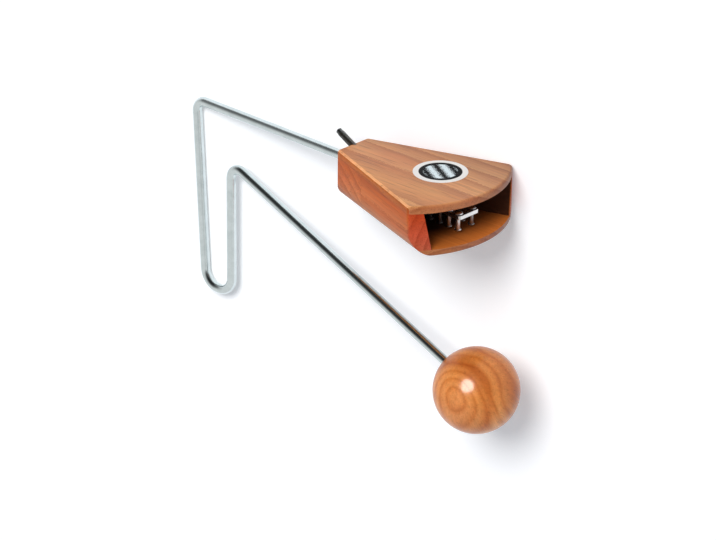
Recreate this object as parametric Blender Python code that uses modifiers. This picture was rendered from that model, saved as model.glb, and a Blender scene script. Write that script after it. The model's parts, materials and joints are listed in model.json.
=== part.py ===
"""Fan-shaped rattle box on a bent spring rod with a striker ball, lying on its side."""
import math

import bmesh
import bpy
import numpy as np
from mathutils import Matrix, Vector

# Everything is drawn in the instrument's own axes and then laid on the floor by one empty.
# x runs along the box towards its mouth, y across the box, z square to the top board.
# The origin is the corner where the box arm turns down into the hand grip.

# Rod
rod_diameter = 0.00635
arm_reach = 0.140
grip_drop = 0.130
grip_lean = 0.0073
grip_width = 0.0315
ball_arm_drop = 0.0350
ball_reach = 0.2490
ball_drop = 0.1236
rod_bend_radius = 0.0075
rod_seat_depth = 0.0275
grip_fullness = 0.96

# Ball
ball_diameter = 0.055
ball_bore_depth = 0.024
ball_bore_chamfer = 0.0006

# Box
box_length = 0.0925
narrow_width = 0.0275
wide_width = 0.0945
mouth_bow = 0.0190
box_height = 0.0338
box_drop = 0.0060
board_thickness = 0.0045
wall_thickness = 0.009
block_length = 0.032
ledge_length = 0.012
narrow_corner_radius = 0.0025
wide_corner_radius = 0.004
board_edge_round = 0.0013
belly_round_narrow = 0.012
belly_round_wide = 0.018
belly_cutter_reach = 0.5
wall_lean = 0.005
inner_edge_round = 0.0003

# Clamp screw, slanted in the rod's plane
clamp_diameter = 0.0045
clamp_slant = math.radians(27.8)
clamp_entry_below_top = 0.0010
clamp_stick_out = 0.0138
clamp_chamfer = 0.0005
clamp_slot_width = 0.0010
clamp_slot_depth = 0.0014

# Rattle plate
strip_width = 0.018
strip_thickness = 0.0026
strip_below_middle = 0.0004
strip_setback = 0.0115
strip_corner_radius = 0.002

# Rattle pins
pin_row_offset = 0.006
pins_per_row = 7
pin_margin = 0.004
pin_hole_clearance = 0.0003
pin_shank_diameter = 0.0030
pin_head_diameter = 0.0060
pin_head_height = 0.0014
pin_hang = 0.0085
pin_tail_diameter = 0.0044
pin_tail_height = 0.0012

# Plate screws
screw_spacing = 0.010
screw_shank_diameter = 0.0032
screw_head_diameter = 0.0064
screw_head_height = 0.0022
screw_length = 0.0080
screw_tip_length = 0.0025
screw_slot_width = 0.0008
screw_slot_depth = 0.0009

# Fits
glue_gap = 0.00025
slip_gap = 0.0002
seat_gap = 0.00025
cutter_overrun = 0.006

# Fineness
bend_steps = 8
corner_steps = 3
mouth_steps = 20
belly_steps = 8
rod_ring_resolution = 5
ball_turns = 32
ball_profile_steps = 18
pin_turns = 12
dome_steps = 3
screw_turns = 16
bore_sides = 24
hole_sides = 16
edge_segments = 2
merge_distance = 0.00001

# Colours
board_colour = (0.56, 0.27, 0.13, 1.0)
wall_colour = (0.45, 0.14, 0.05, 1.0)
block_colour = (0.46, 0.17, 0.07, 1.0)
ball_colour = (0.62, 0.22, 0.05, 1.0)
rod_colour = (0.62, 0.66, 0.64, 1.0)
strip_colour = (0.70, 0.71, 0.72, 1.0)
pin_colour = (0.60, 0.62, 0.64, 1.0)
screw_colour = (0.30, 0.31, 0.32, 1.0)

for old in list(bpy.data.objects):
    bpy.data.objects.remove(old, do_unlink=True)

part_group = bpy.data.collections.new("vibraslap")
cutter_group = bpy.data.collections.new("vibraslap_cutters")
bpy.context.scene.collection.children.link(part_group)
bpy.context.scene.collection.children.link(cutter_group)

lay_down = bpy.data.objects.new("lay_down", None)
part_group.objects.link(lay_down)


def make_material(name, colour, roughness, metallic):
    material = bpy.data.materials.new(name)
    material.use_nodes = True
    shader = material.node_tree.nodes["Principled BSDF"]
    shader.inputs["Base Color"].default_value = colour
    shader.inputs["Roughness"].default_value = roughness
    shader.inputs["Metallic"].default_value = metallic
    material.diffuse_color = colour
    return material


def add_part(name, data, material, place=(0.0, 0.0, 0.0), direction=None):
    """Link a named sub-part under the empty, with local z along direction."""
    part = bpy.data.objects.new(name, data)
    part_group.objects.link(part)
    part.data.materials.append(material)
    part.parent = lay_down
    part.location = place
    if direction is not None:
        part.rotation_euler = direction.to_track_quat("Z", "Y").to_euler()
    return part


def add_cutter(name, mesh, place=(0.0, 0.0, 0.0), direction=None):
    cutter = bpy.data.objects.new(name, mesh)
    cutter_group.objects.link(cutter)
    cutter.parent = lay_down
    cutter.location = place
    if direction is not None:
        cutter.rotation_euler = direction.to_track_quat("Z", "Y").to_euler()
    cutter.hide_render = True
    cutter.display_type = "WIRE"
    return cutter


def cut(part, cutter):
    modifier = part.modifiers.new("cut " + cutter.name, "BOOLEAN")
    modifier.operation = "DIFFERENCE"
    modifier.solver = "EXACT"
    modifier.object = cutter


def fillet(before, corner, after, radius, steps):
    """Points of the arc that rounds one corner of a flat path, shrunk where the sides are short."""
    back = before - corner
    ahead = after - corner
    room = 0.48 * min(back.length, ahead.length)
    back.normalize()
    ahead.normalize()
    half_angle = 0.5 * back.angle(ahead)
    tangent = min(radius / math.tan(half_angle), room)
    true_radius = tangent * math.tan(half_angle)
    middle = (back + ahead).normalized()
    centre = corner + middle * (true_radius / math.sin(half_angle))
    start = corner + back * tangent - centre
    end = corner + ahead * tangent - centre
    sweep = start.angle_signed(end)
    points = []
    for step in range(steps + 1):
        turn = Matrix.Rotation(-sweep * step / steps, 2)
        points.append(centre + turn @ start)
    return points


def round_path(corners, radii, steps):
    """Open flat path through the corners, with each inner corner rounded."""
    points = [corners[0]]
    for index in range(1, len(corners) - 1):
        points += fillet(corners[index - 1], corners[index], corners[index + 1], radii[index - 1], steps)
    points.append(corners[-1])
    return points


def round_outline(corners, radii, steps):
    """Closed flat outline, with a corner rounded wherever its radius isn't zero."""
    points = []
    count = len(corners)
    for index in range(count):
        if radii[index] > 0.0:
            after = corners[(index + 1) % count]
            points += fillet(corners[index - 1], corners[index], after, radii[index], steps)
        else:
            points.append(corners[index])
    return points


def prism_mesh(name, outline, low, high, rounded_low=False, rounded_high=False):
    """Upright prism over a flat outline; chosen rims carry a bevel weight."""
    build = bmesh.new()
    floor = build.faces.new([build.verts.new((p.x, p.y, low)) for p in outline])
    grown = bmesh.ops.extrude_face_region(build, geom=[floor])
    lifted = [item for item in grown["geom"] if isinstance(item, bmesh.types.BMVert)]
    bmesh.ops.translate(build, verts=lifted, vec=(0.0, 0.0, high - low))
    bmesh.ops.recalc_face_normals(build, faces=build.faces)
    weight = build.edges.layers.float.new("bevel_weight_edge")
    for edge in build.edges:
        level = {round(vert.co.z, 7) for vert in edge.verts}
        if len(level) == 1:
            on_top = round(high, 7) in level
            edge[weight] = 1.0 if (rounded_high if on_top else rounded_low) else 0.0
    mesh = bpy.data.meshes.new(name)
    build.to_mesh(mesh)
    build.free()
    return mesh


def round_rims(part, width):
    modifier = part.modifiers.new("rounded rims", "BEVEL")
    modifier.limit_method = "WEIGHT"
    modifier.width = width
    modifier.segments = edge_segments


def cylinder_mesh(name, radius, low, high, sides):
    outline = []
    for side in range(sides):
        angle = 2.0 * math.pi * side / sides
        outline.append(Vector((radius * math.cos(angle), radius * math.sin(angle))))
    return prism_mesh(name, outline, low, high)


def box_mesh(name, low, high):
    outline = [
        Vector((low[0], low[1])),
        Vector((high[0], low[1])),
        Vector((high[0], high[1])),
        Vector((low[0], high[1])),
    ]
    return prism_mesh(name, outline, low[2], high[2])


def lathe_mesh(name, profile):
    """Half profile of a turned piece, listed from top to bottom as (radius, height)."""
    mesh = bpy.data.meshes.new(name)
    points = [(radius, 0.0, height) for radius, height in profile]
    edges = [(index, index + 1) for index in range(len(points) - 1)]
    mesh.from_pydata(points, edges, [])
    return mesh


def turn(part, steps):
    modifier = part.modifiers.new("turned", "SCREW")
    modifier.axis = "Z"
    modifier.steps = steps
    modifier.render_steps = steps
    modifier.use_merge_vertices = True
    modifier.merge_threshold = merge_distance


def dome_profile(radius, base, height, steps):
    """Quarter ellipse from the crown down to the rim."""
    points = []
    for step in range(steps + 1):
        angle = 0.5 * math.pi * step / steps
        points.append((radius * math.sin(angle), base + height * math.cos(angle)))
    return points


board_material = make_material("varnished board", board_colour, 0.35, 0.0)
wall_material = make_material("varnished wall", wall_colour, 0.35, 0.0)
block_material = make_material("varnished block", block_colour, 0.4, 0.0)
ball_material = make_material("varnished ball", ball_colour, 0.25, 0.0)
rod_material = make_material("plated rod", rod_colour, 0.2, 1.0)
strip_material = make_material("spring strip", strip_colour, 0.3, 1.0)
pin_material = make_material("rattle pin", pin_colour, 0.3, 1.0)
screw_material = make_material("steel screw", screw_colour, 0.35, 1.0)

# Sizes that follow from the ones above
rod_radius = 0.5 * rod_diameter
ball_radius = 0.5 * ball_diameter
box_start = arm_reach
box_chord = box_start + box_length
box_top = 0.5 * box_height - box_drop
box_bottom = box_top - box_height
inner_top = box_top - board_thickness
inner_bottom = box_bottom + board_thickness
flare = 0.5 * (wide_width - narrow_width) / box_length
flare_angle = math.atan(flare)
half_wide = 0.5 * wide_width
mouth_radius = (half_wide ** 2 + mouth_bow ** 2) / (2.0 * mouth_bow)
mouth_centre = box_chord + mouth_bow - mouth_radius
mouth_half_angle = math.asin(half_wide / mouth_radius)


def half_width_at(along):
    return 0.5 * narrow_width + flare * (along - box_start)


def mouth_point(angle):
    return Vector((mouth_centre + mouth_radius * math.cos(angle), mouth_radius * math.sin(angle)))


# Rod: one flat path, box end first
path_corners = [
    Vector((box_start + rod_seat_depth, 0.0)),
    Vector((0.0, 0.0)),
    Vector((grip_lean, -grip_drop)),
    Vector((grip_width, -grip_drop)),
    Vector((grip_width, -ball_arm_drop)),
    Vector((ball_reach, -ball_drop)),
]
ball_arm = (path_corners[5] - path_corners[4]).normalized()
ball_centre = path_corners[5].copy()
bore_bottom = ball_radius - ball_bore_depth
path_corners[5] = ball_centre - ball_arm * (bore_bottom + seat_gap)
grip_turn = (path_corners[2] - path_corners[1]).angle(path_corners[3] - path_corners[2])
grip_room = (grip_width - grip_lean) / (math.tan(0.5 * grip_turn) + 1.0)
grip_radius = grip_fullness * grip_room
path_radii = [rod_bend_radius, grip_radius, grip_radius, rod_bend_radius]
path = round_path(path_corners, path_radii, bend_steps)

rod_curve = bpy.data.curves.new("rod", "CURVE")
rod_curve.dimensions = "3D"
rod_curve.bevel_depth = rod_radius
rod_curve.bevel_resolution = rod_ring_resolution
rod_curve.use_fill_caps = True
spline = rod_curve.splines.new("POLY")
spline.points.add(len(path) - 1)
for index, point in enumerate(path):
    spline.points[index].co = (point.x, 0.0, point.y, 1.0)
add_part("rod", rod_curve, rod_material)

# Ball, turned about the rod's end with a blind bore
ball_bore_radius = rod_radius + slip_gap
mouth_reach = ball_bore_radius + ball_bore_chamfer
first_angle = math.asin(mouth_reach / ball_radius)
ball_profile = [(0.0, bore_bottom), (ball_bore_radius, bore_bottom)]
mouth_height = ball_radius * math.cos(first_angle)
ball_profile.append((ball_bore_radius, mouth_height - ball_bore_chamfer))
for step in range(ball_profile_steps + 1):
    angle = first_angle + (math.pi - first_angle) * step / ball_profile_steps
    ball_profile.append((ball_radius * math.sin(angle), ball_radius * math.cos(angle)))
ball_profile[-1] = (0.0, -ball_radius)
to_rod = Vector((-ball_arm.x, 0.0, -ball_arm.y))
ball_place = (ball_centre.x, 0.0, ball_centre.y)
ball = add_part("ball", lathe_mesh("ball", ball_profile), ball_material, ball_place, to_rod)
turn(ball, ball_turns)

# Boards: straight flared sides, bowed front
board_corners = [Vector((box_start, 0.5 * narrow_width)), Vector((box_start, -0.5 * narrow_width))]
board_radii = [narrow_corner_radius, narrow_corner_radius]
for step in range(mouth_steps + 1):
    board_corners.append(mouth_point(mouth_half_angle * (2.0 * step / mouth_steps - 1.0)))
    board_radii.append(wide_corner_radius if step in (0, mouth_steps) else 0.0)
board_outline = round_outline(board_corners, board_radii, corner_steps)

top_mesh = prism_mesh("top_board", board_outline, inner_top, box_top, rounded_high=True)
top_board = add_part("top_board", top_mesh, board_material)
round_rims(top_board, board_edge_round)
low_mesh = prism_mesh("bottom_board", board_outline, box_bottom, inner_bottom, rounded_low=True)
bottom_board = add_part("bottom_board", low_mesh, board_material)
round_rims(bottom_board, board_edge_round)


side_length = box_length / math.cos(flare_angle)


def side_cutter(name, side, section_at):
    """Cutter that runs along one flared side; a section is a list of (outward, height) points."""
    run = Vector((math.cos(flare_angle), side * math.sin(flare_angle), 0.0))
    outward = Vector((-math.sin(flare_angle), side * math.cos(flare_angle), 0.0))
    corner = Vector((box_start, side * 0.5 * narrow_width, 0.0))
    build = bmesh.new()
    rings = []
    for reach in (-2.0 * cutter_overrun, side_length + wide_width):
        ring = []
        for out, height in section_at(reach):
            ring.append(build.verts.new(corner + run * reach + outward * out + Vector((0.0, 0.0, height))))
        build.faces.new(ring)
        rings.append(ring)
    near, far = rings
    for index in range(len(near)):
        build.faces.new((near[index - 1], near[index], far[index], far[index - 1]))
    bmesh.ops.recalc_face_normals(build, faces=build.faces)
    mesh = bpy.data.meshes.new(name)
    build.to_mesh(mesh)
    build.free()
    return add_cutter(name, mesh)


def belly_radius(share):
    """Radius on the lower side edges, from the narrow end (0) to the wide end (1)."""
    return belly_round_narrow + (belly_round_wide - belly_round_narrow) * share


def belly_section(reach):
    """Arc with its end chords run on past the side and the bottom, closed outside the box."""
    radius = belly_radius(reach / side_length)
    spread = belly_cutter_reach * radius
    step_angle = 0.5 * math.pi / belly_steps
    over_chord = 1.0 - math.cos(step_angle)
    past_side = (radius * over_chord, box_bottom + radius * (1.0 + math.sin(step_angle)))
    points = [(spread, box_bottom - spread), (spread, past_side[1]), past_side]
    for step in range(1, belly_steps):
        angle = step * step_angle
        points.append((radius * (math.cos(angle) - 1.0), box_bottom + radius * (1.0 - math.sin(angle))))
    past_bottom = -radius * (1.0 + math.sin(step_angle))
    points.append((past_bottom, box_bottom - radius * over_chord))
    points.append((past_bottom, box_bottom - spread))
    return points


left_belly = side_cutter("left_belly", -1.0, belly_section)
right_belly = side_cutter("right_belly", 1.0, belly_section)
cut(bottom_board, left_belly)
cut(bottom_board, right_belly)

# Side walls: flush with the boards outside, butted to the end block
wall_top = inner_top - glue_gap
wall_bottom = inner_bottom + glue_gap
wall_start = box_start + block_length + glue_gap
foot_thickness = wall_thickness + wall_lean
foot_inset = foot_thickness / math.cos(flare_angle)


def lean_section(reach):
    """Room inside a wall, whose inner face leans in towards its foot."""
    lean = wall_lean / (wall_top - wall_bottom)
    return [
        (lean * cutter_overrun - wall_thickness, wall_top + cutter_overrun),
        (-foot_thickness - lean * cutter_overrun, wall_bottom - cutter_overrun),
        (-foot_thickness - narrow_width, wall_bottom - cutter_overrun),
        (-foot_thickness - narrow_width, wall_top + cutter_overrun),
    ]


def wall_outline(side):
    inner_start = Vector((wall_start, half_width_at(wall_start) - foot_inset))
    along = Vector((math.cos(flare_angle), math.sin(flare_angle)))
    to_start = inner_start - Vector((mouth_centre, 0.0))
    half_b = along.dot(to_start)
    spare = to_start.length_squared - mouth_radius ** 2
    reach = -half_b + math.sqrt(half_b ** 2 - spare)
    inner_end = inner_start + along * reach
    end_angle = math.atan2(inner_end.y, inner_end.x - mouth_centre)
    corners = [inner_start, Vector((wall_start, half_width_at(wall_start)))]
    radii = [0.0, 0.0]
    for step in range(corner_steps + 1):
        angle = mouth_half_angle + (end_angle - mouth_half_angle) * step / corner_steps
        corners.append(mouth_point(angle))
        radii.append(wide_corner_radius if step == 0 else 0.0)
    outline = round_outline(corners, radii, corner_steps)
    return [Vector((point.x, side * point.y)) for point in outline]


for wall_name, side, belly in (("left_wall", -1.0, left_belly), ("right_wall", 1.0, right_belly)):
    mesh = prism_mesh(wall_name, wall_outline(side), wall_bottom, wall_top, True, True)
    wall = add_part(wall_name, mesh, wall_material)
    round_rims(wall, inner_edge_round)
    cut(wall, belly)
    cut(wall, side_cutter(wall_name + "_lean", side, lean_section))

# End block: fills the narrow end, with a ledge for the rattle plate in front
block_end = box_start + block_length
ledge_end = block_end + ledge_length
ledge_half = half_width_at(block_end) - foot_inset - glue_gap
block_corners = [
    Vector((box_start, 0.5 * narrow_width)),
    Vector((box_start, -0.5 * narrow_width)),
    Vector((block_end, -half_width_at(block_end))),
    Vector((block_end, -ledge_half)),
    Vector((ledge_end, -ledge_half)),
    Vector((ledge_end, ledge_half)),
    Vector((block_end, ledge_half)),
    Vector((block_end, half_width_at(block_end))),
]
block_radii = [narrow_corner_radius, narrow_corner_radius, 0.0, 0.0, 0.0, 0.0, 0.0, 0.0]
block_outline = round_outline(block_corners, block_radii, corner_steps)
block_mesh = prism_mesh("end_block", block_outline, wall_bottom, wall_top)
end_block = add_part("end_block", block_mesh, block_material)
cut(end_block, left_belly)
cut(end_block, right_belly)

strip_middle = 0.5 * (box_top + box_bottom) - strip_below_middle
strip_low = strip_middle - 0.5 * strip_thickness
strip_high = strip_low + strip_thickness
ledge_top = strip_low - seat_gap
riser = block_end + seat_gap
ledge_low_corner = (riser, -wide_width, ledge_top)
ledge_high_corner = (ledge_end + cutter_overrun, wide_width, box_top)
cut(end_block, add_cutter("ledge_cutter", box_mesh("ledge_cutter", ledge_low_corner, ledge_high_corner)))

axis_x = Vector((1.0, 0.0, 0.0))
rod_bore_radius = rod_radius + slip_gap
rod_bore_depth = rod_seat_depth + seat_gap
rod_bore = cylinder_mesh("rod_bore", rod_bore_radius, -cutter_overrun, rod_bore_depth, bore_sides)
cut(end_block, add_cutter("rod_bore", rod_bore, (box_start, 0.0, 0.0), axis_x))

# Clamp screw: enters the narrow edge on a slant and bears on the rod
clamp_radius = 0.5 * clamp_diameter
clamp_axis = Vector((-math.cos(clamp_slant), 0.0, math.sin(clamp_slant)))
clamp_entry = Vector((box_start, 0.0, box_top - clamp_entry_below_top))
tip_height = rod_radius + seat_gap + clamp_radius * math.cos(clamp_slant)
clamp_depth = (clamp_entry.z - tip_height) / math.sin(clamp_slant)
clamp_profile = [
    (0.0, clamp_stick_out),
    (clamp_radius - clamp_chamfer, clamp_stick_out),
    (clamp_radius, clamp_stick_out - clamp_chamfer),
    (clamp_radius, clamp_chamfer - clamp_depth),
    (clamp_radius - clamp_chamfer, -clamp_depth),
    (0.0, -clamp_depth),
]
clamp_mesh = lathe_mesh("clamp_screw", clamp_profile)
clamp_screw = add_part("clamp_screw", clamp_mesh, screw_material, clamp_entry, clamp_axis)
turn(clamp_screw, screw_turns)
slot_low = (-clamp_diameter, -0.5 * clamp_slot_width, clamp_stick_out - clamp_slot_depth)
slot_high = (clamp_diameter, 0.5 * clamp_slot_width, clamp_stick_out + clamp_slot_depth)
clamp_slot = box_mesh("clamp_slot", slot_low, slot_high)
cut(clamp_screw, add_cutter("clamp_slot", clamp_slot, clamp_entry, clamp_axis))

clamp_bore_radius = clamp_radius + slip_gap
bore_low = -clamp_depth - seat_gap
bore_high = clamp_stick_out
clamp_bore = cylinder_mesh("clamp_bore", clamp_bore_radius, bore_low, bore_high, bore_sides)
clamp_bore_cutter = add_cutter("clamp_bore", clamp_bore, clamp_entry, clamp_axis)
cut(end_block, clamp_bore_cutter)
cut(top_board, clamp_bore_cutter)

# Rattle plate: a flat strip with two rows of holes; its origin is on the ledge's front edge
strip_start = riser + seat_gap
strip_end = box_chord + mouth_bow - strip_setback
bend_line = Vector((ledge_end, 0.0, strip_middle))
half_strip = 0.5 * strip_width
strip_corners = [
    Vector((strip_start - bend_line.x, half_strip)),
    Vector((strip_start - bend_line.x, -half_strip)),
    Vector((strip_end - bend_line.x, -half_strip)),
    Vector((strip_end - bend_line.x, half_strip)),
]
strip_radii = [strip_corner_radius] * len(strip_corners)
strip_curve = bpy.data.curves.new("rattle_plate", "CURVE")
strip_curve.dimensions = "2D"
strip_curve.fill_mode = "BOTH"
strip_curve.extrude = 0.5 * strip_thickness


def add_loop(curve, points):
    loop = curve.splines.new("POLY")
    loop.points.add(len(points) - 1)
    for index, point in enumerate(points):
        loop.points[index].co = (point.x, point.y, 0.0, 1.0)
    loop.use_cyclic_u = True


def circle_points(centre, radius, sides):
    points = []
    for side in range(sides):
        angle = 2.0 * math.pi * side / sides
        points.append(centre + radius * Vector((math.cos(angle), math.sin(angle))))
    return points


add_loop(strip_curve, round_outline(strip_corners, strip_radii, corner_steps))

pin_radius = 0.5 * pin_shank_diameter
hole_radius = pin_radius + pin_hole_clearance
first_pin = ledge_end + pin_margin + hole_radius
last_pin = strip_end - pin_margin
pin_places = []
for row_side in (-1.0, 1.0):
    for along in np.linspace(first_pin, last_pin, pins_per_row):
        pin_places.append(Vector((float(along), row_side * pin_row_offset, strip_high)))
for place in pin_places:
    centre = Vector((place.x - bend_line.x, place.y))
    add_loop(strip_curve, circle_points(centre, hole_radius, hole_sides))

screw_radius = 0.5 * screw_shank_diameter
screw_along = 0.5 * (strip_start + ledge_end)
screw_places = []
for screw_side in (-1.0, 1.0):
    screw_places.append(Vector((screw_along, screw_side * 0.5 * screw_spacing, strip_high)))
for place in screw_places:
    centre = Vector((place.x - bend_line.x, place.y))
    add_loop(strip_curve, circle_points(centre, screw_radius + pin_hole_clearance, hole_sides))
add_part("rattle_plate", strip_curve, strip_material, bend_line)

# Rattle pins: domed head above, upset tail below, loose in their holes
pin_profile = dome_profile(0.5 * pin_head_diameter, seat_gap, pin_head_height, dome_steps)
pin_bottom = -strip_thickness - pin_hang
tail_radius = 0.5 * pin_tail_diameter
pin_profile += [
    (pin_radius, seat_gap),
    (pin_radius, pin_bottom + pin_tail_height),
    (tail_radius, pin_bottom + 0.5 * pin_tail_height),
    (pin_radius, pin_bottom),
    (0.0, pin_bottom),
]
pin_mesh = lathe_mesh("rattle_pin", pin_profile)
pin_mesh.materials.append(pin_material)
for number, place in enumerate(pin_places, start=1):
    pin = bpy.data.objects.new("rattle_pin_" + str(number), pin_mesh)
    part_group.objects.link(pin)
    pin.parent = lay_down
    pin.location = place
    turn(pin, pin_turns)

# Plate screws: slotted domed heads, pointed shanks in the ledge
shank_bottom = -strip_thickness - seat_gap - screw_length
screw_profile = dome_profile(0.5 * screw_head_diameter, seat_gap, screw_head_height, dome_steps)
screw_profile += [
    (screw_radius, seat_gap),
    (screw_radius, shank_bottom + screw_tip_length),
    (0.0, shank_bottom),
]
screw_bore_radius = screw_radius + slip_gap
for number, place in enumerate(screw_places, start=1):
    name = "plate_screw_" + str(number)
    screw = add_part(name, lathe_mesh(name, screw_profile), screw_material, place)
    turn(screw, screw_turns)
    head_top = seat_gap + screw_head_height
    low = (-screw_head_diameter, -0.5 * screw_slot_width, head_top - screw_slot_depth)
    high = (screw_head_diameter, 0.5 * screw_slot_width, head_top + screw_slot_depth)
    slot_name = "screw_slot_" + str(number)
    cut(screw, add_cutter(slot_name, box_mesh(slot_name, low, high), place))
    bore_name = "screw_bore_" + str(number)
    bore = cylinder_mesh(bore_name, screw_bore_radius, shank_bottom - seat_gap, 0.0, hole_sides)
    cut(end_block, add_cutter(bore_name, bore, place))

# Lay the instrument on its side: the near grip leg and one wide corner of the box touch the floor,
# unless a large ball would touch first
leg = (path_corners[2] - path_corners[1]).normalized()
leg_down = Vector((leg.x, 0.0, leg.y))
leg_across = Vector((-leg.y, 0.0, leg.x))
tilt = math.asin((ball_radius - rod_radius) / leg_across.dot(Vector(ball_place)))
for point in board_outline:
    full_side = box_bottom + belly_radius((point.x - box_start) / box_length)
    for level in (full_side, box_top):
        across = leg_across.dot(Vector((point.x, 0.0, level)))
        if point.y > 0.0 and across > 0.0:
            span = math.hypot(across, point.y)
            tilt = max(tilt, math.atan2(point.y, across) - math.asin(rod_radius / span))
up = math.sin(tilt) * leg_across - math.cos(tilt) * Vector((0.0, 1.0, 0.0))
along = (axis_x - up * axis_x.dot(up)).normalized()
aside = up.cross(along)
turned = Matrix((along, aside, up))
lay_down.rotation_euler = turned.to_euler()
bpy.context.view_layer.update()

# Put the middle of the underside of the bounding box at the origin
graph = bpy.context.evaluated_depsgraph_get()
low_corner = np.full(3, np.inf)
high_corner = np.full(3, -np.inf)
for part in part_group.objects:
    if part.type == "EMPTY":
        continue
    solid = part.evaluated_get(graph)
    mesh = solid.to_mesh()
    flat = np.empty(3 * len(mesh.vertices))
    mesh.vertices.foreach_get("co", flat)
    pose = np.array(solid.matrix_world)
    spots = flat.reshape(-1, 3) @ pose[:3, :3].T + pose[:3, 3]
    low_corner = np.minimum(low_corner, spots.min(axis=0))
    high_corner = np.maximum(high_corner, spots.max(axis=0))
    solid.to_mesh_clear()
middle = 0.5 * (low_corner + high_corner)
lay_down.location = (-middle[0], -middle[1], -low_corner[2])
bpy.context.view_layer.update()
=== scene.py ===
import json
import math

import bmesh
import bpy
from mathutils import Matrix, Vector


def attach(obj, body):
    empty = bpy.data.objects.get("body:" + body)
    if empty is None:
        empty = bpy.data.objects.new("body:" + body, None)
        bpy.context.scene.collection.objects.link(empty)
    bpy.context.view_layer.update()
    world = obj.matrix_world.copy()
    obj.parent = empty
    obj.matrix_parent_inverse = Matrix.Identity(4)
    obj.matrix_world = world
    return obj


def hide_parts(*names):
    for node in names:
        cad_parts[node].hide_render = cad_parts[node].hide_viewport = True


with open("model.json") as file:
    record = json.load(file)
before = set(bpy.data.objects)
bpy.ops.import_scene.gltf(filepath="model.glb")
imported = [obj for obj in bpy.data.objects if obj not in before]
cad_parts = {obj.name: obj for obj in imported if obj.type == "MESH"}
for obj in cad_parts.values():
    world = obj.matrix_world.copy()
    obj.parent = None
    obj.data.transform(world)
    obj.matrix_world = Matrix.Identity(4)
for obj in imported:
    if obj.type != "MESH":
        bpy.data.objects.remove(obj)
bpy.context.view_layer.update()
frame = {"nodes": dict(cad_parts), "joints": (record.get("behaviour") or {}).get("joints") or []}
scene = bpy.context.scene
print("frame loaded:", len(frame["nodes"]), "nodes")

# Every piece is drawn in the instrument's own axes: along the box, across it, and up through the top board.
# The origin is the corner where the box arm turns down into the grip.
joints = {joint["name"]: joint for joint in frame["joints"]}
ledgeEdge = Vector((0.184, 0.0, -0.0064))  # where the plate bends, on the drawing
upAxis = Vector(joints["pin_slide_1"]["axis"]).normalized()
acrossAxis = -Vector(joints["plate_flex"]["axis"]).normalized()
alongAxis = acrossAxis.cross(upAxis)
drawingTurn = Matrix((alongAxis, acrossAxis, upAxis)).transposed()
drawingStart = Vector(joints["plate_flex"]["pos_m"]) - drawingTurn @ ledgeEdge
drawing = Matrix.Translation(drawingStart) @ drawingTurn.to_4x4()


# Small helpers for meshes
sewDistance = 1e-7  # vertices this close become one
cutSewDistance = 1e-6  # a cut leaves doubled vertices along its rim
sameLevel = 1e-6


def vertsOf(geom):
    return [item for item in geom if isinstance(item, bmesh.types.BMVert)]


def edgesOf(geom):
    return [item for item in geom if isinstance(item, bmesh.types.BMEdge)]


def tidyShell(bm):
    bmesh.ops.remove_doubles(bm, verts=bm.verts[:], dist=sewDistance)
    bmesh.ops.recalc_face_normals(bm, faces=bm.faces[:])


def sweep(bm, vert, centre, angle, steps, axis=(0.0, 0.0, 1.0)):
    # carries one vertex round an arc and gives back the vertex at its end
    made = bmesh.ops.spin(bm, geom=[vert], cent=centre, axis=axis, angle=angle, steps=steps)
    return vertsOf(made["geom_last"])[0]


def lineTo(bm, vert, place):
    new = bm.verts.new(place)
    bm.edges.new((vert, new))
    return new


def turnOnLathe(bm, steps):
    # the half profile stands in the x-z plane and turns about z
    bmesh.ops.spin(bm, geom=bm.verts[:] + bm.edges[:], cent=(0, 0, 0), axis=(0, 0, 1),
                   angle=2.0 * math.pi, steps=steps, use_merge=True)
    tidyShell(bm)


def thicken(bm, height):
    grown = bmesh.ops.extrude_face_region(bm, geom=bm.faces[:])
    bmesh.ops.translate(bm, verts=vertsOf(grown["geom"]), vec=(0, 0, height))
    tidyShell(bm)


def easeEdges(bm, edges, width, segments):
    bmesh.ops.bevel(bm, geom=edges, offset=width, offset_type="OFFSET", affect="EDGES",
                    segments=segments, profile=0.5, material=-1)


def roundRim(bm, level, width, segments):
    rim = [edge for edge in bm.edges if all(abs(vert.co.z - level) < sameLevel for vert in edge.verts)]
    easeEdges(bm, rim, width, segments)


def mirrorAcross(bm):
    # completes a half outline, then fills it
    bmesh.ops.mirror(bm, geom=bm.verts[:] + bm.edges[:], axis="Y", merge_dist=sameLevel)
    bmesh.ops.contextual_create(bm, geom=bm.edges[:])


def addBrick(bm, middle, size):
    bmesh.ops.create_cube(bm, size=1.0)
    bmesh.ops.scale(bm, verts=bm.verts[:], vec=size)
    bmesh.ops.translate(bm, verts=bm.verts[:], vec=middle)


def addPeg(bm, radius, length, sides, place=Matrix.Identity(4)):
    bmesh.ops.create_cone(bm, cap_ends=True, segments=sides, radius1=radius, radius2=radius, depth=length,
                          matrix=place)


def makeObject(bm, name, place=Matrix.Identity(4)):
    bm.transform(drawing @ place)
    mesh = bpy.data.meshes.new(name)
    bm.to_mesh(mesh)
    bm.free()
    piece = bpy.data.objects.new(name, mesh)
    scene.collection.objects.link(piece)
    return piece


def cutAway(piece, cutterMesh, place=Matrix.Identity(4)):
    cutter = makeObject(cutterMesh, "cutter", place)
    knife = piece.modifiers.new("cut", "BOOLEAN")
    knife.solver = "EXACT"
    knife.object = cutter
    graph = bpy.context.evaluated_depsgraph_get()
    opened = bpy.data.meshes.new_from_object(piece.evaluated_get(graph))
    piece.modifiers.clear()
    piece.data = opened
    bpy.data.objects.remove(cutter)
    bm = bmesh.new()
    bm.from_mesh(opened)
    bmesh.ops.remove_doubles(bm, verts=bm.verts[:], dist=cutSewDistance)
    bm.to_mesh(opened)
    bm.free()


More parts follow.
